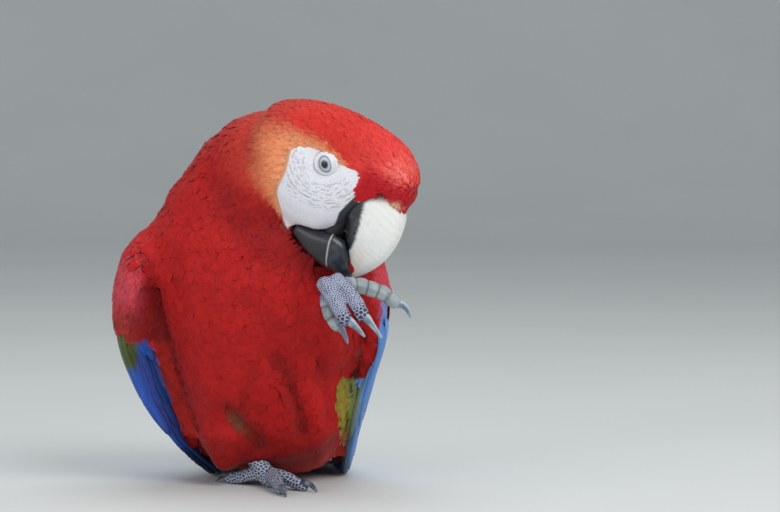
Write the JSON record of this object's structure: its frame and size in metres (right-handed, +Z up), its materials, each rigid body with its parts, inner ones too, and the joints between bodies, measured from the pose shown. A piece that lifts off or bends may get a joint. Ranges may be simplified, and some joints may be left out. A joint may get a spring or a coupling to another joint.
{
  "type": "macaw",
  "caption": "Life-size still model of a scarlet macaw standing on one foot, head turned and bowed so that the bill nibbles the raised foot, long tail laid on the floor behind.",
  "frame": {"origin": "the middle of the standing right foot's sole, on the floor", "axes": "the chest faces -Y, the tail lies back along +Y, +X is to the bird's left, +Z is up"},
  "size_m": [0.2245, 0.6437, 0.2834],
  "materials": {
    "head_plumage": "fine short contour feathers, soft sheen",
    "body_plumage": "broad overlapping contour feathers, soft sheen",
    "wing_plumage": "rows of smooth coverts, red, yellow and blue",
    "flight_feathers": "long stiff vanes with a silky sheen",
    "tail_plumage": "long stiff vanes with a silky sheen",
    "bare_skin": "matt, finely wrinkled in rows",
    "ivory_bill": "smooth horn, satin",
    "black_bill": "smooth horn, satin, faintly flaked",
    "tongue_skin": "moist, matt",
    "eye": "clear and wet",
    "leg_scales": "small raised scales with pale joins",
    "claw_horn": "smooth horn, satin"
  },
  "bodies": {
    "root": {"head": "head_plumage", "neck": "body_plumage", "trunk": "body_plumage", "thigh_left": "body_plumage", "thigh_right": "body_plumage", "tail": "tail_plumage", "wing_left_arm": "wing_plumage", "wing_right_arm": "wing_plumage", "wing_left_flight": "flight_feathers", "wing_right_flight": "flight_feathers", "eye_left": "eye", "eye_right": "eye", "bill_upper": "ivory_bill", "bill_lower": "black_bill", "tongue": "tongue_skin", "tarsus_left": "leg_scales", "tarsus_right": "leg_scales", "toe_left_1": "leg_scales", "claw_left_1": "claw_horn", "toe_left_2": "leg_scales", "claw_left_2": "claw_horn", "toe_left_3": "leg_scales", "claw_left_3": "claw_horn", "toe_left_4": "leg_scales", "claw_left_4": "claw_horn", "toe_right_1": "leg_scales", "claw_right_1": "claw_horn", "toe_right_2": "leg_scales", "claw_right_2": "claw_horn", "toe_right_3": "leg_scales", "claw_right_3": "claw_horn", "toe_right_4": "leg_scales", "claw_right_4": "claw_horn"}
  },
  "joints": []
}
